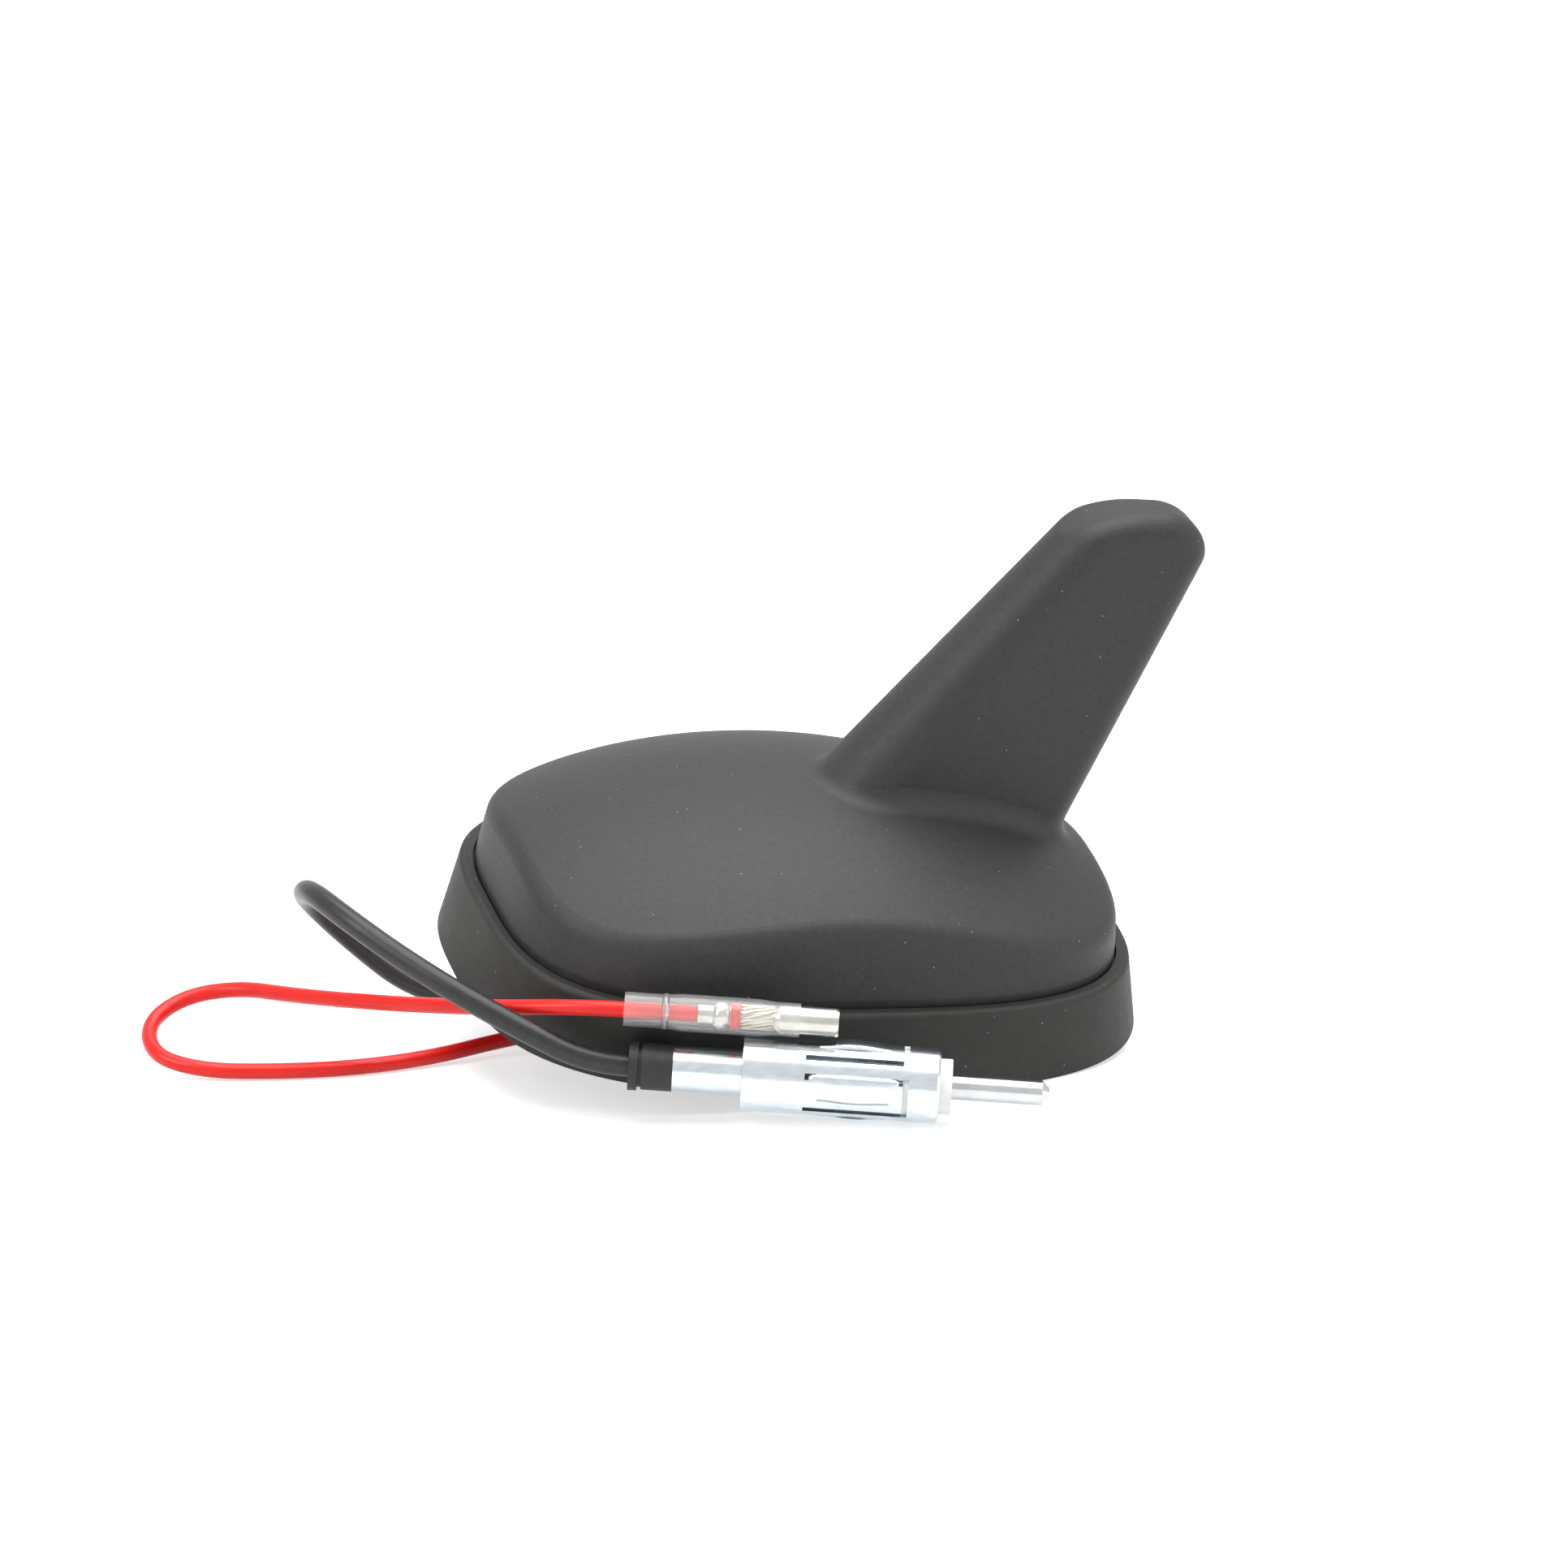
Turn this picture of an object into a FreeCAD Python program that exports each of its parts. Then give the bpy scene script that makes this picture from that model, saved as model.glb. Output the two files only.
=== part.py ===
import FreeCAD, Part
import math
import os
import Sketcher

# Roof antenna with a fin-shaped cover, a rubber foot, an aerial lead with its
# plug and a power wire with a bullet receptacle. Millimetres. The foot's
# contact plane is z = 0, +X points to the rear of the vehicle, +Z up.

vec = FreeCAD.Vector
doc = FreeCAD.newDocument("roof_antenna")
sheet = doc.addObject("Spreadsheet::Sheet", "dims")

SIZES = (
    # cover
    ("cover_half_length", 40.0),
    ("cover_half_width", 28.8),
    ("cover_edge_height", 10.9),
    ("cover_wall", 2.2),
    ("wall_draft", 2.4),
    ("crown_height", 27.6),
    ("crown_apex_x", -1.5),
    ("crown_long_radius", 86.0),
    ("crown_cross_radius", 56.0),
    ("crest_round", 3.0),
    # fin
    ("fin_foot_height", 12.0),
    ("fin_top_height", 65.2),
    ("fin_lead_foot_x", -11.5),
    ("fin_lead_run", 41.5),
    ("fin_tail_foot_x", 31.0),
    ("fin_tail_run", 18.5),
    ("fin_nose_radius_foot", 7.4),
    ("fin_nose_radius_top", 5.0),
    ("fin_tail_radius_foot", 4.6),
    ("fin_tail_radius_top", 4.2),
    ("fin_lead_round", 17.0),
    ("fin_tail_round", 7.0),
    ("fin_top_round", 3.0),
    ("fin_root_round", 3.0),
    # foot
    ("gasket_half_length", 44.2),
    ("gasket_half_width", 32.7),
    ("gasket_shift", 0.3),
    ("lip_half_length", 41.8),
    ("lip_half_width", 30.6),
    ("lip_height", 9.9),
    ("ledge_height", 9.0),
    ("pad_height", 2.5),
    ("contact_band", 7.0),
    ("contact_relief", 1.0),
    ("fit_gap", 0.3),
    # base casting
    ("plate_wall", 3.0),
    ("plate_floor", 2.5),
    ("rim_height", 2.0),
    ("boss_front", 12.0),
    ("boss_rear", 7.0),
    ("boss_half_width", 7.5),
    ("boss_depth", 7.0),
    ("duct_half_width", 5.0),
    ("duct_rear", 5.0),
    ("duct_centre", 4.0),
    ("duct_half_height", 2.2),
    ("insert_radius", 4.0),
    ("thread_radius", 2.5),
    ("cover_screw_x", 28.5),
    ("cover_screw_y", 14.0),
    ("cover_screw_radius", 1.5),
    ("cover_screw_head", 2.8),
    ("post_radius", 3.4),
    # electronics
    ("board_length", 46.0),
    ("board_width", 32.0),
    ("board_thick", 1.6),
    ("board_height", 9.5),
    ("board_screw_shank", 0.95),
    ("board_screw_head", 2.0),
    ("board_screw_head_height", 1.2),
    ("board_screw_reach", 4.5),
    ("board_screw_x", 19.0),
    ("board_screw_y", 12.0),
    ("can_length", 22.0),
    ("can_width", 20.0),
    ("can_height", 5.0),
    ("can_wall", 0.4),
    ("can_centre", -9.0),
    ("element_thick", 1.2),
    # leads
    ("coax_radius", 1.45),
    ("wire_radius", 1.0),
    # plug
    ("boot_length", 5.4),
    ("boot_radius", 2.9),
    ("crimp_radius", 2.8),
    ("crimp_bore", 2.2),
    ("barrel_rear", 13.9),
    ("barrel_web", 17.0),
    ("barrel_front", 38.0),
    ("barrel_radius", 4.6),
    ("sheet_thick", 0.45),
    ("tongue_start", 21.5),
    ("tongue_end", 33.5),
    ("tongue_half_width", 1.9),
    ("slot_width", 0.7),
    ("nose_radius", 3.4),
    ("nose_length", 1.5),
    ("pin_radius", 1.575),
    ("pin_length", 12.0),
    # bullet connector
    ("sleeve_length", 21.5),
    ("sleeve_radius", 2.2),
    ("sleeve_bore", 1.85),
    ("receptacle_start", 9.0),
    ("receptacle_barrel", 19.0),
    ("receptacle_end", 26.2),
    ("receptacle_radius", 1.8),
    ("receptacle_bore", 1.5),
    ("receptacle_depth", 6.0),
    ("wire_crimp_radius", 1.3),
)
for row, (name, value) in enumerate(SIZES, 1):
    sheet.set(f"A{row}", name)
    sheet.set(f"B{row}", str(value))
    sheet.setAlias(f"B{row}", name)
doc.recompute()


def size(name):
    return float(sheet.get(name))


COVER_POWER = 3.2
LIP_POWER = 3.2
GASKET_POWER = 2.9
OVAL_POINTS = 24
FIN_MARGIN = 0.6

# The plug lies beside the foot: the rear of its boot and the way it points.
PLUG_REAR = vec(-30.17, -31.32, 3.96)
PLUG_AXIS = vec(0.9441, -0.3203, 0.0781)
# The bullet connector lies on the plug, along the same direction.
BULLET_REAR = vec(-31.15, -29.5, 10.82)

COAX_POINTS = (
    (-30.22, -31.3, 3.956),
    (-34.94, -29.7, 3.565),
    (-42.2, -25.1, 5.7),
    (-49.7, -19.3, 8.0),
    (-55.6, -13.1, 9.8),
    (-60.6, -7.1, 11.6),
    (-63.7, 1.7, 11.4),
    (-61.8, 10.4, 6.0),
    (-54.4, 10.8, -1.0),
    (-47.2, 5.5, -5.1),
    (-38.6, 1.7, -5.1),
    (-26.0, 1.8, -4.0),
    (-13.55, 1.8, -4.0),
)
WIRE_POINTS = (
    (-22.7, -32.37, 11.517),
    (-34.97, -28.206, 10.502),
    (-45.0, -18.5, 5.2),
    (-54.5, -4.5, -1.6),
    (-62.5, 7.0, -6.6),
    (-67.5, 14.0, -9.2),
    (-74.2, 15.8, -11.3),
    (-79.6, 12.2, -13.1),
    (-80.2, 5.4, -14.0),
    (-75.0, 0.6, -13.6),
    (-66.5, -1.8, -12.6),
    (-57.0, -3.4, -11.5),
    (-46.0, -1.8, -11.1),
    (-35.5, 0.8, -10.0),
    (-25.0, -1.3, -6.8),
    (-18.6, -2.6, -4.0),
    (-13.55, -2.6, -4.0),
)


def oval(half_length, half_width, power, height, shift=0.0):
    points = []
    for step in range(OVAL_POINTS):
        angle = 2 * math.pi * step / OVAL_POINTS
        along, across = math.cos(angle), math.sin(angle)
        points.append(vec(
            shift + half_length * math.copysign(abs(along) ** (2 / power), along),
            half_width * math.copysign(abs(across) ** (2 / power), across),
            height,
        ))
    curve = Part.BSplineCurve()
    curve.interpolate(Points=points, PeriodicFlag=True)
    return Part.Wire([curve.toShape()])


def oval_block(half_length, half_width, power, low, high, shift=0.0):
    face = Part.Face(oval(half_length, half_width, power, low, shift))
    return face.extrude(vec(0, 0, high - low))


def box(low, high):
    return Part.makeBox(high[0] - low[0], high[1] - low[1], high[2] - low[2], vec(*low))


def post(x, y, radius, low, high):
    return Part.makeCylinder(radius, high - low, vec(x, y, low))


def four(x, y):
    return [(sx * x, sy * y) for sx in (-1, 1) for sy in (-1, 1)]


def rounded_outline(points, radii):
    # closed outline in the plane y = 0 with tangent arcs at its corners
    corners = [vec(x, 0, z) for x, z in points]
    starts, ends, middles = [], [], []
    for index, (corner, radius) in enumerate(zip(corners, radii)):
        back = (corners[index - 1] - corner).normalize()
        ahead = (corners[(index + 1) % len(corners)] - corner).normalize()
        half = back.getAngle(ahead) / 2
        reach = radius / math.tan(half) if radius else 0
        bisector = (back + ahead).normalize()
        starts.append(corner + back * reach)
        ends.append(corner + ahead * reach)
        middles.append(corner + bisector * (radius / math.sin(half) - radius))
    edges = []
    for index in range(len(corners)):
        if radii[index]:
            edges.append(Part.Arc(starts[index], middles[index], ends[index]).toShape())
        edges.append(Part.makeLine(ends[index], starts[(index + 1) % len(corners)]))
    return Part.Wire(edges)


def on_both(edge, first, second, tolerance=0.01):
    middle = Part.Vertex(edge.valueAt((edge.FirstParameter + edge.LastParameter) / 2))
    return all(
        shape.Shells[0].distToShape(middle)[0] < tolerance for shape in (first, second)
    )


def feature(label, shape):
    item = doc.addObject("Part::Feature", label)
    item.Label = label
    item.Shape = shape
    return item


# cover


def crown(shrink):
    cross = size("crown_cross_radius")
    reach = 0.78 * size("crown_long_radius")
    long_radius = size("crown_long_radius")
    apex = size("crown_apex_x")
    top = size("crown_height") - shrink
    axis_height = size("crown_height") - cross
    drop = long_radius - math.sqrt(long_radius**2 - reach**2)
    front = vec(apex - reach, 0, top - drop)
    rear = vec(apex + reach, 0, top - drop)
    front_foot = vec(front.x, 0, axis_height)
    rear_foot = vec(rear.x, 0, axis_height)
    outline = Part.Wire([
        Part.Arc(front, vec(apex, 0, top), rear).toShape(),
        Part.makeLine(rear, rear_foot),
        Part.makeLine(rear_foot, front_foot),
        Part.makeLine(front_foot, front),
    ])
    return Part.Face(outline).revolve(vec(0, 0, axis_height), vec(1, 0, 0), 360)


def wall_block(shrink, low):
    high = size("crown_height") + 4
    draft = size("wall_draft") * (high - low) / 20
    length = size("cover_half_length") - shrink
    width = size("cover_half_width") - shrink
    return Part.makeLoft([
        oval(length, width, COVER_POWER, low),
        oval(length - draft, width - draft, COVER_POWER, high),
    ], True, True)


def fin_at(height):
    rise = (height - size("fin_foot_height")) / (size("fin_top_height") - size("fin_foot_height"))
    return {
        "lead": size("fin_lead_foot_x") + rise * size("fin_lead_run"),
        "tail": size("fin_tail_foot_x") + rise * size("fin_tail_run"),
        "nose": size("fin_nose_radius_foot")
        + rise * (size("fin_nose_radius_top") - size("fin_nose_radius_foot")),
        "end": size("fin_tail_radius_foot")
        + rise * (size("fin_tail_radius_top") - size("fin_tail_radius_foot")),
    }


def fin_section(height, shrink):
    # two circles joined by their common tangents
    at = fin_at(height)
    nose, end = at["nose"] - shrink, at["end"] - shrink
    nose_centre = vec(at["lead"] + at["nose"], 0, height)
    end_centre = vec(at["tail"] - at["end"], 0, height)
    lean = math.acos((nose - end) / (end_centre.x - nose_centre.x))
    side = vec(math.cos(lean), math.sin(lean), 0)
    other = vec(math.cos(lean), -math.sin(lean), 0)
    nose_left, nose_right = nose_centre + side * nose, nose_centre + other * nose
    end_left, end_right = end_centre + side * end, end_centre + other * end
    return Part.Wire([
        Part.Arc(nose_left, nose_centre - vec(nose, 0, 0), nose_right).toShape(),
        Part.makeLine(nose_right, end_right),
        Part.Arc(end_right, end_centre + vec(end, 0, 0), end_left).toShape(),
        Part.makeLine(end_left, nose_left),
    ])


def fin_block(shrink, low):
    high = size("fin_top_height") + 4
    blade = Part.makeLoft([fin_section(low, shrink), fin_section(high, shrink)], True, True)
    top = size("fin_top_height") - shrink
    foot, head = fin_at(low - 5), fin_at(top)
    inset = shrink - FIN_MARGIN
    outline = rounded_outline(
        (
            (foot["lead"] + inset, low - 5),
            (head["lead"] + inset, top),
            (head["tail"] - inset, top),
            (foot["tail"] - inset, low - 5),
        ),
        (0, size("fin_lead_round") - shrink, size("fin_tail_round") - shrink, 0),
    )
    half = 2 * size("fin_nose_radius_foot")
    slab = Part.Face(outline).extrude(vec(0, 2 * half, 0))
    slab.translate(vec(0, -half, 0))
    return blade.common(slab).Solids[0], slab


def make_cover():
    edge = size("cover_edge_height")
    wall = size("cover_wall")
    outer_wall, outer_crown = wall_block(0, edge), crown(0)
    dome = outer_wall.common(outer_crown).Solids[0]
    crest = [e for e in dome.Edges if on_both(e, outer_wall, outer_crown)]
    dome = dome.makeFillet(size("crest_round"), crest)
    fin, slab = fin_block(0, size("fin_foot_height"))
    blade_edges = [
        e for e in fin.Edges
        if on_both(e, fin, slab) and e.CenterOfMass.z > 0.8 * size("fin_top_height")
        and abs(e.CenterOfMass.y) > 0.5
    ]
    fin = fin.makeFillet(size("fin_top_round"), blade_edges)
    body = dome.fuse(fin).Solids[0]
    root = [e for e in body.Edges if on_both(e, dome, fin)]
    body = body.makeFillet(size("fin_root_round"), root)
    cavity = wall_block(wall, edge - 1).common(crown(wall))
    cavity = cavity.fuse(fin_block(wall, size("fin_foot_height"))[0])
    bosses = [post(x, y, size("post_radius"), edge, size("crown_height"))
              for x, y in four(size("cover_screw_x"), size("cover_screw_y"))]
    cavity = cavity.cut(Part.makeCompound(bosses))
    body = body.cut(cavity)
    holes = [post(x, y, size("cover_screw_radius"), edge - 1, edge + 6)
             for x, y in four(size("cover_screw_x"), size("cover_screw_y"))]
    return body.cut(Part.makeCompound(holes))


cover = feature("fin_cover", make_cover())


# rubber foot


def make_gasket():
    gap = size("fit_gap")
    outer = Part.makeLoft([
        oval(size("gasket_half_length"), size("gasket_half_width"), GASKET_POWER, 0, size("gasket_shift")),
        oval(size("lip_half_length"), size("lip_half_width"), LIP_POWER, size("lip_height")),
    ], True, True)
    brim = [e for e in outer.Edges if e.CenterOfMass.z > size("lip_height") - 0.1]
    outer = outer.makeFillet(0.8, [e for e in brim if e.BoundBox.ZLength < 0.1])
    length, width = size("cover_half_length"), size("cover_half_width")
    ledge = oval_block(length + gap, width + gap, COVER_POWER, size("ledge_height"), size("lip_height") + 1)
    pocket = oval_block(length - 2 + gap, width - 2 + gap, COVER_POWER,
                        size("pad_height"), size("lip_height") + 1)
    relief = oval_block(size("gasket_half_length") - size("contact_band"),
                        size("gasket_half_width") - size("contact_band"), GASKET_POWER,
                        -1, size("contact_relief"))
    opening = box(
        (-size("boss_front") - gap, -size("boss_half_width") - gap, -1),
        (size("boss_rear") + gap, size("boss_half_width") + gap, size("pad_height") + 1),
    )
    return outer.cut(Part.makeCompound([ledge])).cut(pocket).cut(relief).cut(opening)


gasket = feature("base_gasket", make_gasket())


# base casting with the locating boss


def make_plate():
    length, width = size("cover_half_length"), size("cover_half_width")
    pad, ledge, edge = size("pad_height"), size("ledge_height"), size("cover_edge_height")
    wall = size("cover_wall") + 3 * size("fit_gap")
    tray_wall = size("plate_wall") + 2
    floor = pad + size("plate_floor")
    top = edge + size("rim_height")
    body = oval_block(length - 2, width - 2, COVER_POWER, pad, ledge)
    body = body.fuse(oval_block(length, width, COVER_POWER, ledge, edge))
    rim = oval_block(length - wall, width - wall, COVER_POWER, edge - 0.5, top)
    body = body.fuse(rim.common(crown(size("cover_wall") + size("fit_gap"))))
    body = body.cut(oval_block(length - tray_wall, width - tray_wall, COVER_POWER, floor, top + 1))
    boss = box(
        (-size("boss_front"), -size("boss_half_width"), -size("boss_depth")),
        (size("boss_rear"), size("boss_half_width"), floor),
    )
    boss = boss.makeFillet(2.0, [e for e in boss.Edges if e.BoundBox.ZLength > 1])
    body = body.fuse(boss)
    screw_posts = [post(x, y, size("post_radius"), floor, edge)
                   for x, y in four(size("cover_screw_x"), size("cover_screw_y"))]
    board_posts = [post(x, y, 3.0, floor, size("board_height"))
                   for x, y in four(size("board_screw_x"), size("board_screw_y"))]
    body = body.fuse(screw_posts + board_posts)
    # the rim is relieved where the cover's screw bosses stand
    cuts = [post(x, y, size("post_radius") + size("fit_gap"), edge, top + 1)
            for x, y in four(size("cover_screw_x"), size("cover_screw_y"))]
    cuts += [post(x, y, size("cover_screw_radius"), pad - 1, top)
             for x, y in four(size("cover_screw_x"), size("cover_screw_y"))]
    cuts += [post(x, y, size("cover_screw_head"), pad - 1, pad + 1.5)
             for x, y in four(size("cover_screw_x"), size("cover_screw_y"))]
    cuts += [post(x, y, 1.0, floor, size("board_height") + 1)
             for x, y in four(size("board_screw_x"), size("board_screw_y"))]
    cuts.append(post(0, 0, size("insert_radius"), -size("boss_depth") - 1, floor + 1))
    cuts.append(duct_block(0))
    for cut in cuts:
        body = body.cut(cut)
    return body.removeSplitter()


def duct_block(nose):
    # mouth in the boss's front face, and a shaft up through the tray floor
    centre, half = -size("duct_centre"), size("duct_half_height")
    side, rear = size("duct_half_width"), -size("duct_rear")
    floor = size("pad_height") + size("plate_floor")
    mouth = box((-size("boss_front") - nose, -side, centre - half), (rear, side, centre + half))
    shaft = box((rear - 5, -side, centre), (rear, side, floor))
    return mouth.fuse(shaft).removeSplitter()


plate = feature("base_plate", make_plate())
grommet = feature("cable_grommet", duct_block(1.5))


# Turned pieces: a closed half profile on the body's XZ plane, turned about X.


def plane_of(body, role):
    return next(item for item in body.Origin.OriginFeatures if item.Role == role)


def turned(label, profile):
    body = doc.addObject("PartDesign::Body", label)
    body.Label = label
    sketch = body.newObject("Sketcher::SketchObject", label + "_profile")
    sketch.AttachmentSupport = [(plane_of(body, "XY_Plane"), "")]
    sketch.MapMode = "FlatFace"
    values = [(doc_value(along), doc_value(radius)) for along, radius in profile]
    count = len(values)
    for index in range(count):
        start, end = values[index], values[(index + 1) % count]
        sketch.addGeometry(Part.LineSegment(vec(*start, 0), vec(*end, 0)), False)
    for index in range(count):
        sketch.addConstraint(Sketcher.Constraint("Coincident", index, 2, (index + 1) % count, 1))
    for index, (along, radius) in enumerate(profile):
        for kind, text, axis in (("DistanceX", along, -2), ("DistanceY", radius, -1)):
            if text == "0":
                sketch.addConstraint(Sketcher.Constraint("PointOnObject", index, 1, axis))
                continue
            value = doc_value(text)
            place = sketch.addConstraint(Sketcher.Constraint(kind, -1, 1, index, 1, value))
            sketch.setExpression(f"Constraints[{place}]", text)
    doc.recompute()
    turn = body.newObject("PartDesign::Revolution", label + "_turn")
    turn.Profile = sketch
    turn.ReferenceAxis = (sketch, ["H_Axis"])
    turn.Angle = 360
    body.Tip = turn
    doc.recompute()
    return body


def doc_value(text):
    if text == "0":
        return 0.0
    return float(sheet.evalExpression(text))


def cells(text):
    # plain words become cells of the sheet
    return " ".join("dims." + word if word[0].isalpha() else word for word in text.split())


def profile_of(*pairs):
    return [(cells(along), cells(radius)) for along, radius in pairs]


boot = turned("plug_boot", profile_of(
    ("0", "0"), ("boot_length", "0"), ("boot_length", "boot_radius"),
    ("1.6", "boot_radius"), ("1.6", "boot_radius - 0.3"), ("1.1", "boot_radius - 0.3"),
    ("1.1", "boot_radius + 0.15"), ("0", "boot_radius + 0.15"),
))
barrel = turned("plug_barrel", profile_of(
    ("boot_length", "crimp_bore"),
    ("barrel_web + sheet_thick", "crimp_bore"),
    ("barrel_web + sheet_thick", "barrel_radius - sheet_thick"),
    ("barrel_front - sheet_thick", "barrel_radius - sheet_thick"),
    ("barrel_front - sheet_thick", "nose_radius + 0.1"),
    ("barrel_front", "nose_radius + 0.1"),
    ("barrel_front", "barrel_radius - 0.3"),
    ("barrel_front - 0.3", "barrel_radius"),
    ("barrel_rear", "barrel_radius"),
    ("barrel_rear", "barrel_radius - sheet_thick"),
    ("barrel_web", "barrel_radius - sheet_thick"),
    ("barrel_web", "crimp_radius"),
    ("boot_length", "crimp_radius"),
))
insulator = turned("plug_insulator", profile_of(
    ("tongue_end", "pin_radius"),
    ("barrel_front + nose_length", "pin_radius"),
    ("barrel_front + nose_length", "nose_radius"),
    ("barrel_front - sheet_thick", "nose_radius"),
    ("barrel_front - sheet_thick", "barrel_radius - sheet_thick - 0.05"),
    ("tongue_end", "barrel_radius - sheet_thick - 0.05"),
))
pin = turned("plug_pin", profile_of(
    ("tongue_end - 6", "0"),
    ("barrel_front + nose_length + pin_length", "0"),
    ("barrel_front + nose_length + pin_length", "pin_radius - 0.9"),
    ("barrel_front + nose_length + pin_length - 0.9", "pin_radius"),
    ("tongue_end - 6", "pin_radius"),
))
sleeve = turned("bullet_sleeve", profile_of(
    ("0", "sleeve_bore"), ("sleeve_length", "sleeve_bore"), ("sleeve_length", "sleeve_radius - 0.1"),
    ("sleeve_length - 3", "sleeve_radius - 0.1"), ("sleeve_length - 5", "sleeve_radius + 0.1"),
    ("7", "sleeve_radius + 0.1"), ("5", "sleeve_radius - 0.1"), ("0", "sleeve_radius - 0.1"),
))
receptacle = turned("bullet_receptacle", profile_of(
    ("receptacle_start", "0"), ("receptacle_end - receptacle_depth", "0"),
    ("receptacle_end - receptacle_depth", "receptacle_bore"), ("receptacle_end", "receptacle_bore"),
    ("receptacle_end", "receptacle_radius - 0.1"), ("receptacle_end - 0.3", "receptacle_radius"),
    ("receptacle_barrel", "receptacle_radius"), ("receptacle_barrel - 1", "wire_crimp_radius"),
    ("receptacle_start", "wire_crimp_radius"),
))
insert = turned("thread_insert", profile_of(
    ("0", "thread_radius"),
    ("boss_depth + pad_height + plate_floor", "thread_radius"),
    ("boss_depth + pad_height + plate_floor", "insert_radius"),
    ("0", "insert_radius"),
))


# Spring tongues of the plug: a three-sided slot through the wall, four times around.


def slot_tongues(body):
    start, end = "dims.tongue_start", "dims.tongue_end"
    half, gap = "dims.tongue_half_width", "dims.slot_width"
    corners = (
        (start, half), (end, half), (end, "-" + half), (start, "-" + half),
        (start, f"-({half} + {gap})"), (f"{end} + {gap}", f"-({half} + {gap})"),
        (f"{end} + {gap}", f"{half} + {gap}"), (start, f"{half} + {gap}"),
    )
    sketch = body.newObject("Sketcher::SketchObject", "tongue_slot")
    sketch.AttachmentSupport = [(plane_of(body, "XY_Plane"), "")]
    sketch.MapMode = "FlatFace"
    values = [(doc_value(x), doc_value(y)) for x, y in corners]
    for index, value in enumerate(values):
        ahead = values[(index + 1) % len(values)]
        sketch.addGeometry(Part.LineSegment(vec(*value, 0), vec(*ahead, 0)), False)
    for index in range(len(values)):
        sketch.addConstraint(Sketcher.Constraint("Coincident", index, 2, (index + 1) % len(values), 1))
    for index, texts in enumerate(corners):
        for kind, text in zip(("DistanceX", "DistanceY"), texts):
            place = sketch.addConstraint(Sketcher.Constraint(kind, -1, 1, index, 1, doc_value(text)))
            sketch.setExpression(f"Constraints[{place}]", text)
    doc.recompute()
    pocket = body.newObject("PartDesign::Pocket", "tongue_pocket")
    pocket.Profile = sketch
    pocket.Type = 0
    pocket.setExpression("Length", "dims.barrel_radius + 1")
    pocket.Reversed = True
    body.Tip = pocket
    doc.recompute()
    pattern = body.newObject("PartDesign::PolarPattern", "tongue_pattern")
    pattern.Originals = [pocket]
    pattern.Axis = (sketch, ["H_Axis"])
    pattern.Angle = 360
    pattern.Occurrences = 4
    body.Tip = pattern
    doc.recompute()


plain_volume = barrel.Shape.Volume
slot_tongues(barrel)
print("plug barrel volume before and after its slots", plain_volume, barrel.Shape.Volume)


# electronics


def board_piece():
    half_length, half_width = size("board_length") / 2, size("board_width") / 2
    low, high = size("board_height"), size("board_height") + size("board_thick")
    body = box((-half_length, -half_width, low), (half_length, half_width, high))
    body = body.makeFillet(2.0, [e for e in body.Edges if e.BoundBox.ZLength > 1])
    for x, y in four(size("board_screw_x"), size("board_screw_y")):
        body = body.cut(post(x, y, 1.4, low - 1, high + 1))
    return body


def can_piece():
    low = size("board_height") + size("board_thick")
    half_length, half_width, wall = size("can_length") / 2, size("can_width") / 2, size("can_wall")
    centre, high = size("can_centre"), low + size("can_height")
    body = box((centre - half_length, -half_width, low), (centre + half_length, half_width, high))
    body = body.makeFillet(1.0, [e for e in body.Edges if e.BoundBox.ZLength > 1])
    inside = box(
        (centre - half_length + wall, -half_width + wall, low - 1),
        (centre + half_length - wall, half_width - wall, high - wall),
    )
    return body.cut(inside)


def element_piece():
    low = size("board_height") + size("board_thick")
    wall, thick = size("cover_wall"), size("element_thick")
    top = size("fin_top_height") - 2 * wall - 2
    foot, head = fin_at(low), fin_at(top)
    rear = min(foot["tail"] - wall - 6, size("board_length") / 2)
    front = rear - 16
    outline = rounded_outline(
        ((front, low), (head["lead"] + 8, top - 4), (head["tail"] - wall - 5, top - 4), (rear, low)),
        (0, 1.5, 1, 0),
    )
    body = Part.Face(outline).extrude(vec(0, thick, 0))
    body.translate(vec(0, -thick / 2, 0))
    return body


def screw(x, y, radius, head_radius, head_height, seat, reach, up):
    # a cylinder head and a shank; up is +1 where the shank points up
    head_low = seat - head_height if up > 0 else seat
    shank_low = seat if up > 0 else seat - reach
    head = post(x, y, head_radius, head_low, head_low + head_height)
    return head.fuse(post(x, y, radius, shank_low, shank_low + reach)).removeSplitter()


board_top = size("board_height") + size("board_thick")
board = feature("circuit_board", board_piece())
can = feature("shield_can", can_piece())
element = feature("element_board", element_piece())
cover_screws = feature("cover_screws", Part.makeCompound([
    screw(x, y, size("cover_screw_radius") - 0.1, size("cover_screw_head") - 0.2, 1.4,
          size("pad_height") + 1.5, size("cover_edge_height") + 5 - size("pad_height") - 1.5, 1)
    for x, y in four(size("cover_screw_x"), size("cover_screw_y"))
]))
board_screws = feature("board_screws", Part.makeCompound([
    screw(x, y, size("board_screw_shank"), size("board_screw_head"), size("board_screw_head_height"),
          board_top, size("board_screw_reach"), -1)
    for x, y in four(size("board_screw_x"), size("board_screw_y"))
]))
leads_low = size("pad_height") + size("plate_floor")
leads = feature("inner_leads", Part.makeCompound([
    post(-size("duct_rear") - 2.5, y, radius, leads_low, size("board_height"))
    for y, radius in ((1.8, size("coax_radius")), (-2.6, size("wire_radius")))
]))


# leads along their routes


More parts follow.
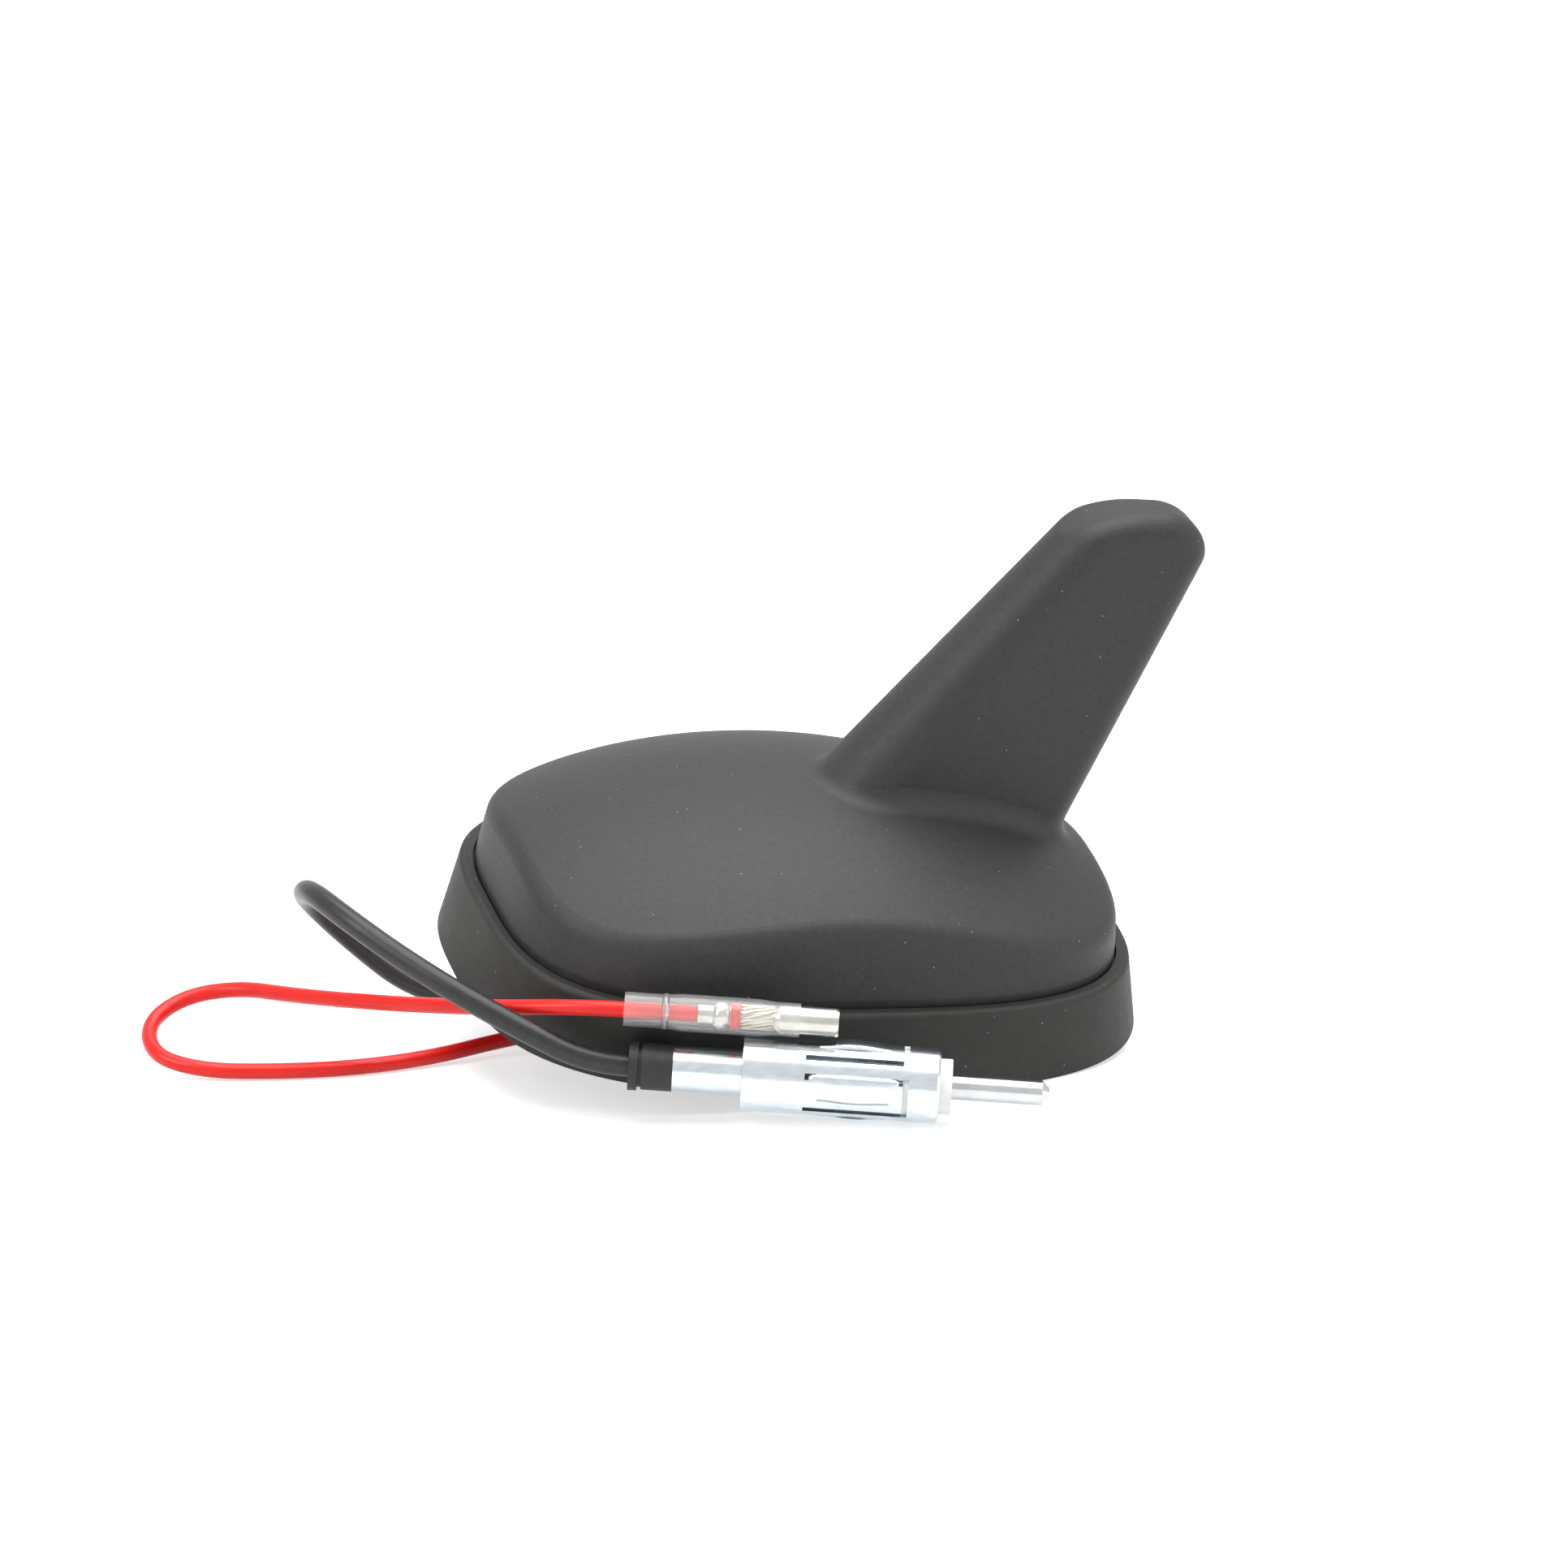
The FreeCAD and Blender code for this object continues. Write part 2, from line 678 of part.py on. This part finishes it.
def lead(label, points, radius):
    corners = [vec(*point) for point in points]
    edges, last, length = [], corners[0], 0
    for index in range(1, len(corners) - 1):
        here = corners[index]
        back, ahead = corners[index - 1] - here, corners[index + 1] - here
        reach = 0.45 * min(back.Length, ahead.Length)
        back.normalize()
        ahead.normalize()
        half = back.getAngle(ahead) / 2
        bend = reach * math.tan(half)
        middle = here + (back + ahead).normalize() * (bend / math.sin(half) - bend)
        edges.append(Part.LineSegment(last, here + back * reach).toShape())
        edges.append(Part.Arc(here + back * reach, middle, here + ahead * reach).toShape())
        last = here + ahead * reach
        print(label, index, "bend radius in diameters", round(bend / (2 * radius), 1))
    edges.append(Part.LineSegment(last, corners[-1]).toShape())
    route = Part.Wire(edges)
    section = Part.Wire([Part.makeCircle(radius, corners[0], corners[1] - corners[0])])
    tube = route.makePipeShell([section], True, False)
    print(label, "length", round(route.Length, 1), "volume", round(tube.Volume, 1),
          "section times length", round(math.pi * radius**2 * route.Length, 1))
    return feature(label, tube)


coax = lead("coax_cable", COAX_POINTS, size("coax_radius"))
wire = lead("power_wire", WIRE_POINTS, size("wire_radius"))


# places


def along(direction):
    return FreeCAD.Rotation(vec(1, 0, 0), direction)


for piece in (boot, barrel, insulator, pin):
    piece.Placement = FreeCAD.Placement(PLUG_REAR, along(PLUG_AXIS))
for piece in (sleeve, receptacle):
    piece.Placement = FreeCAD.Placement(BULLET_REAR, along(PLUG_AXIS))
insert.Placement = FreeCAD.Placement(vec(0, 0, -size("boss_depth")), along(vec(0, 0, 1)))
doc.recompute()

pieces = (
    cover, gasket, plate, grommet, insert, board, can, element, cover_screws, board_screws,
    leads, coax, wire, boot, barrel, insulator, pin, sleeve, receptacle,
)
os.makedirs("parts", exist_ok=True)
for item in doc.Objects:
    if "Invalid" in item.State or "Error" in item.State:
        raise RuntimeError("feature failed: " + item.Label)
for piece in pieces:
    if piece.Shape.isNull() or not piece.Shape.isValid():
        raise RuntimeError("bad shape: " + piece.Label)
    print(piece.Label, "solids", len(piece.Shape.Solids), "volume", round(piece.Shape.Volume, 1))
    piece.Shape.exportStep("parts/" + piece.Label + ".step")
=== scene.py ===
import math

import bmesh
import bpy
from mathutils import Matrix, Vector


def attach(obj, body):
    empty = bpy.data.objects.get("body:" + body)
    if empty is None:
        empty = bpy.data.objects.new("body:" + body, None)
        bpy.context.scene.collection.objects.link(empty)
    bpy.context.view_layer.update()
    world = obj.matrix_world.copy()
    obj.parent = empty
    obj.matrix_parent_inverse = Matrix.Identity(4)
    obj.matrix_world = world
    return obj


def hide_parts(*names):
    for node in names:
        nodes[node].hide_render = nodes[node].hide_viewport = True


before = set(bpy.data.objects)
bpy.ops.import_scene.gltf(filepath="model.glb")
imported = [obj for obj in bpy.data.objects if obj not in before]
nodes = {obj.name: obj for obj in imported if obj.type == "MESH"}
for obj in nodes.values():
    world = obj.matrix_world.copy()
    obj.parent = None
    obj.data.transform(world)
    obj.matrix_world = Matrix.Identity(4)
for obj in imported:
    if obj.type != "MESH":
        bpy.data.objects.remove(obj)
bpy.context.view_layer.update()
MM = 0.001

# Camera: seen from the left of the vehicle, a little from its front and from above.
AZIMUTH = math.radians(-21.07)
ELEVATION = math.radians(27.02)
ROLL = math.radians(-8.96)
DISTANCE = 0.8
IMAGE_SIZE = 1932
FOCAL_PIXELS = 7680
SENSOR = 36.0
ORIGIN_BELOW_CENTRE = 226.5

# Table top: the antenna leans on its boss and on the near edge of its foot.
FLOOR_NORMAL = Vector((-0.0674, 0.2434, 0.9676)).normalized()
FLOOR_OFFSET = -9.25 * MM
FLOOR_REACH = 1.6
# The floor's own brightness near the part and beyond it, and where it changes.
GLOW_NEAR, GLOW_FAR = 0.6, 0.85
GLOW_FROM, GLOW_TO = 0.15, 0.6

PLUG_REAR = Vector((-30.17, -31.32, 3.96)) * MM
PLUG_AXIS = Vector((0.9441, -0.3203, 0.0781)).normalized()
BULLET_REAR = Vector((-31.15, -29.5, 10.82)) * MM

COAX_DIAMETER = 2.9 * MM
COAX_POINTS = (
    (-30.22, -31.3, 3.956),
    (-34.94, -29.7, 3.565),
    (-42.2, -25.1, 5.7),
    (-49.7, -19.3, 8.0),
    (-55.6, -13.1, 9.8),
    (-60.6, -7.1, 11.6),
    (-63.7, 1.7, 11.4),
    (-61.8, 10.4, 6.0),
    (-54.4, 10.8, -1.0),
    (-47.2, 5.5, -5.1),
    (-38.6, 1.7, -5.1),
    (-26.0, 1.8, -4.0),
    (-13.55, 1.8, -4.0),
)
WIRE_DIAMETER = 2.0 * MM
WIRE_POINTS = (
    (-22.7, -32.37, 11.517),
    (-34.97, -28.206, 10.502),
    (-45.0, -18.5, 5.2),
    (-54.5, -4.5, -1.6),
    (-62.5, 7.0, -6.6),
    (-67.5, 14.0, -9.2),
    (-74.2, 15.8, -11.3),
    (-79.6, 12.2, -13.1),
    (-80.2, 5.4, -14.0),
    (-75.0, 0.6, -13.6),
    (-66.5, -1.8, -12.6),
    (-57.0, -3.4, -11.5),
    (-46.0, -1.8, -11.1),
    (-35.5, 0.8, -10.0),
    (-25.0, -1.3, -6.8),
    (-18.6, -2.6, -4.0),
    (-13.55, -2.6, -4.0),
)


# materials


class Shader:
    """One procedural material: a principled shader with object-space textures."""

    def __init__(self, name, colour, roughness, metallic=0.0, specular=0.5):
        self.material = bpy.data.materials.new(name)
        self.material.use_nodes = True
        self.tree = self.material.node_tree
        self.surface = self.tree.nodes["Principled BSDF"]
        self.colour = colour
        self.set("Base Color", (*colour, 1))
        self.set("Roughness", roughness)
        self.set("Metallic", metallic)
        self.set("Specular IOR Level", specular)
        self.place = self.tree.nodes.new("ShaderNodeTexCoord").outputs["Object"]

    def set(self, socket, value):
        self.surface.inputs[socket].default_value = value

    def noise(self, scale, detail=4.0, stretch=None):
        node = self.tree.nodes.new("ShaderNodeTexNoise")
        node.inputs["Scale"].default_value = scale
        node.inputs["Detail"].default_value = detail
        source = self.place
        if stretch:
            mapping = self.tree.nodes.new("ShaderNodeMapping")
            mapping.inputs["Scale"].default_value = stretch
            self.tree.links.new(source, mapping.inputs["Vector"])
            source = mapping.outputs["Vector"]
        self.tree.links.new(source, node.inputs["Vector"])
        return node.outputs["Fac"]

    def ramp(self, source, stops):
        node = self.tree.nodes.new("ShaderNodeValToRGB")
        while len(node.color_ramp.elements) < len(stops):
            node.color_ramp.elements.new(0.5)
        for element, (place, colour) in zip(node.color_ramp.elements, stops):
            element.position = place
            element.color = (*colour, 1)
        self.tree.links.new(source, node.inputs["Fac"])
        return node.outputs["Color"]

    def vary_colour(self, source, low, high):
        stops = ((0.3, low), (0.7, high))
        self.tree.links.new(self.ramp(source, stops), self.surface.inputs["Base Color"])

    def vary_roughness(self, source, low, high):
        node = self.tree.nodes.new("ShaderNodeMapRange")
        node.inputs["To Min"].default_value = low
        node.inputs["To Max"].default_value = high
        self.tree.links.new(source, node.inputs["Value"])
        self.tree.links.new(node.outputs["Result"], self.surface.inputs["Roughness"])

    def bump(self, source, strength, depth):
        node = self.tree.nodes.new("ShaderNodeBump")
        node.inputs["Strength"].default_value = strength
        node.inputs["Distance"].default_value = depth
        self.tree.links.new(source, node.inputs["Height"])
        self.tree.links.new(node.outputs["Normal"], self.surface.inputs["Normal"])

    def specks(self, scale, share, base_source, colour):
        """Scattered pale dust over the base colour."""
        cells = self.tree.nodes.new("ShaderNodeTexVoronoi")
        cells.inputs["Scale"].default_value = scale
        self.tree.links.new(self.place, cells.inputs["Vector"])
        near = self.tree.nodes.new("ShaderNodeMath")
        near.operation = "LESS_THAN"
        near.inputs[1].default_value = share
        self.tree.links.new(cells.outputs["Distance"], near.inputs[0])
        mix = self.tree.nodes.new("ShaderNodeMix")
        mix.data_type = "RGBA"
        self.tree.links.new(near.outputs[0], mix.inputs["Factor"])
        self.tree.links.new(base_source, mix.inputs["A"])
        mix.inputs["B"].default_value = (*colour, 1)
        self.tree.links.new(mix.outputs["Result"], self.surface.inputs["Base Color"])


def moulded_plastic(name, low, high, roughness, grain, dust=False):
    shader = Shader(name, high, roughness, specular=0.35)
    tone = shader.ramp(shader.noise(grain / 2), ((0.3, low), (0.7, high)))
    if dust:
        shader.specks(420, 0.035, tone, (0.3, 0.3, 0.3))
    else:
        shader.tree.links.new(tone, shader.surface.inputs["Base Color"])
    shader.vary_roughness(shader.noise(grain / 3), roughness - 0.04, roughness + 0.04)
    shader.bump(shader.noise(grain, 3.0), 0.25, 0.00005)
    return shader.material


def plated(name, low, high, roughness, stretch=None):
    shader = Shader(name, high, roughness, metallic=1.0)
    shader.vary_colour(shader.noise(300, stretch=stretch), low, high)
    shader.vary_roughness(shader.noise(900, stretch=stretch), roughness - 0.04, roughness + 0.06)
    shader.bump(shader.noise(500, 3.0, stretch), 0.1, 0.00004)
    return shader.material


def red_plastic():
    shader = Shader("red_wire_insulation", (0.75, 0.012, 0.008), 0.32, specular=0.35)
    shader.vary_colour(shader.noise(240), (0.71, 0.011, 0.007), (0.77, 0.014, 0.009))
    shader.set("Subsurface Weight", 0.05)
    shader.set("Subsurface Scale", 0.0008)
    shader.bump(shader.noise(900), 0.12, 0.00006)
    return shader.material


def clear_plastic():
    shader = Shader("clear_sleeve_plastic", (0.99, 0.99, 0.99), 0.06)
    shader.set("Transmission Weight", 0.92)
    shader.set("IOR", 1.38)
    shader.vary_roughness(shader.noise(300), 0.03, 0.1)
    shader.bump(shader.noise(260), 0.1, 0.0001)
    return shader.material


def white_plastic():
    shader = Shader("white_insulator_plastic", (0.86, 0.86, 0.84), 0.35)
    shader.vary_colour(shader.noise(300), (0.8, 0.8, 0.77), (0.9, 0.9, 0.88))
    shader.bump(shader.noise(1200), 0.1, 0.00005)
    return shader.material


def solder_mask():
    shader = Shader("board_solder_mask", (0.02, 0.14, 0.05), 0.3)
    shader.vary_colour(shader.noise(500, stretch=(1, 6, 1)), (0.014, 0.1, 0.035), (0.03, 0.19, 0.07))
    shader.bump(shader.noise(800), 0.15, 0.00005)
    return shader.material


cover_plastic = moulded_plastic("cover_plastic_grain", (0.022, 0.022, 0.023), (0.03, 0.03, 0.031),
                                0.54, 3200, dust=True)
foot_rubber = moulded_plastic("foot_rubber_grain", (0.014, 0.0145, 0.0125), (0.02, 0.0205, 0.018), 0.6, 2000,
                              dust=True)
plate_plastic = moulded_plastic("plate_plastic_grain", (0.02, 0.02, 0.02), (0.03, 0.03, 0.03), 0.5, 1800)
jacket = moulded_plastic("coax_jacket_skin", (0.018, 0.0185, 0.0185), (0.026, 0.0265, 0.0265), 0.33, 2400)
boot_rubber = moulded_plastic("boot_rubber_skin", (0.016, 0.016, 0.016), (0.024, 0.024, 0.023), 0.5, 1500)
bright = plated("bright_zinc_plating", (0.56, 0.61, 0.65), (0.66, 0.71, 0.75), 0.2, (1, 4, 4))
nickel = plated("nickel_plating", (0.46, 0.47, 0.48), (0.56, 0.57, 0.58), 0.2)
tinned = plated("tinned_brass_plating", (0.5, 0.49, 0.45), (0.66, 0.65, 0.6), 0.25)
brass = plated("insert_brass_turned", (0.55, 0.38, 0.14), (0.78, 0.58, 0.25), 0.3)
steel = plated("zinc_screw_plating", (0.5, 0.5, 0.52), (0.72, 0.72, 0.75), 0.35)
strand_metal = plated("tinned_strand_bare", (0.5, 0.42, 0.32), (0.7, 0.62, 0.5), 0.3)
red_insulation = red_plastic()
clear_sleeve = clear_plastic()
white_insulator = white_plastic()
board_green = solder_mask()

FINISH = {
    "fin_cover": cover_plastic,
    "base_gasket": foot_rubber,
    "base_plate": plate_plastic,
    "cable_grommet": boot_rubber,
    "thread_insert": brass,
    "circuit_board": board_green,
    "element_board": board_green,
    "shield_can": tinned,
    "cover_screws": steel,
    "board_screws": steel,
    "inner_leads": jacket,
    "coax_cable": jacket,
    "power_wire": red_insulation,
    "plug_boot": boot_rubber,
    "plug_barrel": bright,
    "plug_insulator": white_insulator,
    "plug_pin": nickel,
    "bullet_sleeve": clear_sleeve,
    "bullet_receptacle": tinned,
}
for name, material in FINISH.items():
    for place in nodes[name].material_slots:
        place.material = material


# pieces


def add_piece(name, data, material):
    piece = bpy.data.objects.new(name, data)
    bpy.context.scene.collection.objects.link(piece)
    data.materials.append(material)
    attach(piece, "root")
    return piece


def cord(name, points, diameter, material):
    curve = bpy.data.curves.new(name, "CURVE")
    curve.dimensions = "3D"
    curve.bevel_depth = diameter / 2
    curve.bevel_resolution = 8
    curve.resolution_u = 16
    spline = curve.splines.new("NURBS")
    spline.points.add(len(points) - 1)
    for point, place in zip(spline.points, points):
        point.co = (*(Vector(place) * MM), 1)
    spline.order_u = 3
    spline.use_endpoint_u = True
    curve.use_fill_caps = True
    return add_piece(name, curve, material)


def turned_place(rear):
    """Matrix whose X axis runs along the plug, with its origin at rear."""
    side = PLUG_AXIS.cross(FLOOR_NORMAL).normalized()
    up = side.cross(PLUG_AXIS)
    return Matrix((
        (PLUG_AXIS.x, side.x, up.x, rear.x),
        (PLUG_AXIS.y, side.y, up.y, rear.y),
        (PLUG_AXIS.z, side.z, up.z, rear.z),
        (0, 0, 0, 1),
    ))


def mesh_from(name, build, place):
    mesh = bpy.data.meshes.new(name)
    work = bmesh.new()
    build(work)
    work.transform(place)
    bmesh.ops.recalc_face_normals(work, faces=work.faces)
    work.to_mesh(mesh)
    work.free()
    for face in mesh.polygons:
        face.use_smooth = True
    return mesh


def add_mesh(name, build, place, material):
    return add_piece(name, mesh_from(name, build, place), material)


def ring(work, profile, steps=40):
    """Closed ring turned about X from (along, radius) points in millimetres."""
    loops = []
    for step in range(steps):
        angle = 2 * math.pi * step / steps
        loops.append([
            work.verts.new((x * MM, r * MM * math.cos(angle), r * MM * math.sin(angle)))
            for x, r in profile
        ])
    for step in range(steps):
        here, ahead = loops[step], loops[(step + 1) % steps]
        for index in range(len(profile)):
            after = (index + 1) % len(profile)
            work.faces.new((here[index], here[after], ahead[after], ahead[index]))


def leaf(work, turn, start, end, half_width, radius, bulge, thick, along_steps=18, across_steps=6):
    """Sprung strip on a cylinder: it bows outwards between its ends."""
    sheets = []
    for depth in (0.0, -thick):
        rows = []
        for i in range(along_steps + 1):
            t = i / along_steps
            r = radius + depth + bulge * math.sin(math.pi * t) ** 2
            row = []
            for j in range(across_steps + 1):
                angle = turn + half_width / radius * (2 * j / across_steps - 1)
                x = start + t * (end - start)
                row.append(work.verts.new((x * MM, r * MM * math.cos(angle), r * MM * math.sin(angle))))
            rows.append(row)
        sheets.append(rows)
    for rows in sheets:
        for i in range(along_steps):
            for j in range(across_steps):
                work.faces.new((rows[i][j], rows[i][j + 1], rows[i + 1][j + 1], rows[i + 1][j]))
    top, low = sheets
    rim = [(i, 0) for i in range(along_steps)] + [(along_steps, j) for j in range(across_steps)]
    rim += [(i, across_steps) for i in range(along_steps, 0, -1)]
    rim += [(0, j) for j in range(across_steps, 0, -1)]
    for (i, j), (k, m) in zip(rim, rim[1:] + rim[:1]):
        work.faces.new((top[i][j], top[k][m], low[k][m], low[i][j]))


def strand(work, radius, turn, start, end, thick):
    """One thin wire along X with a slight twist."""
    steps, sides = 8, 6
    loops = []
    for i in range(steps + 1):
        t = i / steps
        angle = turn + 0.9 * t
        centre = (start + t * (end - start), radius * math.cos(angle), radius * math.sin(angle))
        loop = []
        for k in range(sides):
            a = 2 * math.pi * k / sides
            loop.append(work.verts.new((
                centre[0] * MM,
                (centre[1] + thick * math.cos(a)) * MM,
                (centre[2] + thick * math.sin(a)) * MM,
            )))
        loops.append(loop)
    for here, ahead in zip(loops, loops[1:]):
        for k in range(sides):
            work.faces.new((here[k], here[(k + 1) % sides], ahead[(k + 1) % sides], ahead[k]))
    work.faces.new(loops[0])
    work.faces.new(loops[-1])


# Sprung leaves on the plug, and bare strands in the bullet connector, in millimetres.
LEAF_START = 22.0
LEAF_END = 33.0
LEAF_HALF_WIDTH = 1.7
LEAF_RADIUS = 4.56
LEAF_BULGE = 0.42
LEAF_THICK = 0.3
STRANDS = 14
STRAND_RING = 1.4
STRAND_START = 14.2
STRAND_END = 18.4
STRAND_RADIUS = 0.14


def build_leaves(work):
    for quarter in range(4):
        leaf(work, quarter * math.pi / 2, LEAF_START, LEAF_END, LEAF_HALF_WIDTH, LEAF_RADIUS, LEAF_BULGE,
             LEAF_THICK)


def build_strands(work):
    for step in range(STRANDS):
        strand(work, STRAND_RING, 2 * math.pi * step / STRANDS, STRAND_START, STRAND_END, STRAND_RADIUS)


def build_tabs(work):
    ring(work, ((10.9, 1.32), (10.9, 1.62), (11.8, 1.72), (12.9, 1.62), (12.9, 1.32)))


def build_collar(work):
    ring(work, ((13.0, 1.32), (13.0, 1.66), (14.2, 1.66), (14.2, 1.32)))


def build_seam(work):
    ring(work, ((4.6, 2.08), (4.7, 2.2), (5.2, 2.26), (5.5, 2.12)))


plug_place = turned_place(PLUG_REAR)
bullet_place = turned_place(BULLET_REAR)
coax = cord("coax_run", COAX_POINTS, COAX_DIAMETER, jacket)
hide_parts("coax_cable")
wire = cord("wire_run", WIRE_POINTS, WIRE_DIAMETER, red_insulation)
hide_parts("power_wire")
leaves = add_mesh("plug_leaves", build_leaves, plug_place, bright)
strands = add_mesh("wire_strands", build_strands, bullet_place, strand_metal)
tabs = add_mesh("crimp_tabs", build_tabs, bullet_place, tinned)
collar = add_mesh("wire_collar", build_collar, bullet_place, red_insulation)
seam = add_mesh("sleeve_seam", build_seam, bullet_place, clear_sleeve)


# stage


def seen_rays(tree):
    """One for the rays that show the backdrop, directly or in metal and glass."""
    rays = tree.nodes.new("ShaderNodeLightPath")
    total = rays.outputs["Is Camera Ray"]
    for kind in ("Is Glossy Ray", "Is Transmission Ray"):
        most = tree.nodes.new("ShaderNodeMath")
        most.operation = "MAXIMUM"
        tree.links.new(total, most.inputs[0])
        tree.links.new(rays.outputs[kind], most.inputs[1])
        total = most.outputs[0]
    return total


def white_floor():
    shader = Shader("floor_white", (0.7, 0.7, 0.7), 0.7, specular=0.2)
    shader.vary_colour(shader.noise(6), (0.69, 0.69, 0.69), (0.71, 0.71, 0.71))
    shader.set("Emission Color", (1, 1, 1, 1))
    reach = shader.tree.nodes.new("ShaderNodeVectorMath")
    reach.operation = "LENGTH"
    shader.tree.links.new(shader.place, reach.inputs[0])
    far = shader.tree.nodes.new("ShaderNodeMapRange")
    far.inputs["From Min"].default_value = GLOW_FROM
    far.inputs["From Max"].default_value = GLOW_TO
    far.inputs["To Min"].default_value = GLOW_NEAR
    far.inputs["To Max"].default_value = GLOW_FAR
    shader.tree.links.new(reach.outputs["Value"], far.inputs["Value"])
    glow = shader.tree.nodes.new("ShaderNodeMath")
    glow.operation = "MULTIPLY"
    shader.tree.links.new(seen_rays(shader.tree), glow.inputs[0])
    shader.tree.links.new(far.outputs["Result"], glow.inputs[1])
    shader.tree.links.new(glow.outputs[0], shader.surface.inputs["Emission Strength"])
    clear = shader.tree.nodes.new("ShaderNodeBsdfTransparent")
    mix = shader.tree.nodes.new("ShaderNodeMixShader")
    side = shader.tree.nodes.new("ShaderNodeNewGeometry")
    out = shader.tree.nodes["Material Output"]
    shader.tree.links.new(side.outputs["Backfacing"], mix.inputs["Fac"])
    shader.tree.links.new(shader.surface.outputs["BSDF"], mix.inputs[1])
    shader.tree.links.new(clear.outputs["BSDF"], mix.inputs[2])
    shader.tree.links.new(mix.outputs["Shader"], out.inputs["Surface"])
    return shader.material


def add_floor():
    mesh = bpy.data.meshes.new("table_top")
    side = FLOOR_NORMAL.cross(Vector((0, 1, 0))).normalized()
    ahead = side.cross(FLOOR_NORMAL)
    centre = FLOOR_NORMAL * FLOOR_OFFSET
    signs = ((-1, -1), (-1, 1), (1, 1), (1, -1))
    corners = [centre + side * a * FLOOR_REACH + ahead * b * FLOOR_REACH for a, b in signs]
    mesh.from_pydata([tuple(c) for c in corners], [], [(0, 1, 2, 3)])
    mesh.update()
    if mesh.polygons[0].normal.dot(FLOOR_NORMAL) < 0:
        mesh.flip_normals()
    floor = bpy.data.objects.new("table_top", mesh)
    mesh.materials.append(white_floor())
    bpy.context.scene.collection.objects.link(floor)


def add_light(name, place, target, width, height, power):
    data = bpy.data.lights.new(name, "AREA")
    data.shape = "RECTANGLE"
    data.size = width
    data.size_y = height
    data.energy = power
    light = bpy.data.objects.new(name, data)
    light.location = place
    light.rotation_euler = (Vector(target) - Vector(place)).to_track_quat("-Z", "Y").to_euler()
    bpy.context.scene.collection.objects.link(light)


def add_world():
    world = bpy.data.worlds.new("studio")
    bpy.context.scene.world = world
    world.use_nodes = True
    tree = world.node_tree
    soft = tree.nodes["Background"]
    soft.inputs["Color"].default_value = (1, 1, 1, 1)
    soft.inputs["Strength"].default_value = 0.34
    seen = tree.nodes.new("ShaderNodeBackground")
    seen.inputs["Color"].default_value = (1, 1, 1, 1)
    seen.inputs["Strength"].default_value = 1.0
    mix = tree.nodes.new("ShaderNodeMixShader")
    tree.links.new(seen_rays(tree), mix.inputs["Fac"])
    tree.links.new(soft.outputs["Background"], mix.inputs[1])
    tree.links.new(seen.outputs["Background"], mix.inputs[2])
    tree.links.new(mix.outputs["Shader"], tree.nodes["World Output"].inputs["Surface"])


def add_camera():
    back = Vector((math.sin(AZIMUTH) * math.cos(ELEVATION), -math.cos(AZIMUTH) * math.cos(ELEVATION),
                   math.sin(ELEVATION)))
    level = Vector((math.cos(AZIMUTH), math.sin(AZIMUTH), 0))
    upright = back.cross(level)
    right = level * math.cos(ROLL) - upright * math.sin(ROLL)
    up = level * math.sin(ROLL) + upright * math.cos(ROLL)
    # tipped up a little, so that the foot comes below the middle of the frame
    tip = math.atan(ORIGIN_BELOW_CENTRE / FOCAL_PIXELS)
    aim = back * math.cos(tip) - up * math.sin(tip)
    head = up * math.cos(tip) + back * math.sin(tip)
    place = back * DISTANCE
    data = bpy.data.cameras.new("camera")
    data.sensor_width = SENSOR
    data.lens = FOCAL_PIXELS / IMAGE_SIZE * SENSOR
    data.clip_start = 0.01
    camera = bpy.data.objects.new("camera", data)
    camera.matrix_world = Matrix((
        (right.x, head.x, aim.x, place.x),
        (right.y, head.y, aim.y, place.y),
        (right.z, head.z, aim.z, place.z),
        (0, 0, 0, 1),
    ))
    bpy.context.scene.collection.objects.link(camera)
    bpy.context.scene.camera = camera


add_floor()
add_world()
add_light("softbox_over", (0.05, 0.15, 0.8), (0, 0, 0.02), 0.9, 0.9, 11.0)
add_light("softbox_left", (-0.8, -0.1, 0.55), (0, 0, 0.03), 0.5, 0.6, 4.0)
add_light("softbox_right", (0.75, -0.35, 0.35), (0, 0, 0.03), 0.4, 0.6, 1.2)
add_camera()
bpy.context.scene.view_settings.view_transform = "Standard"
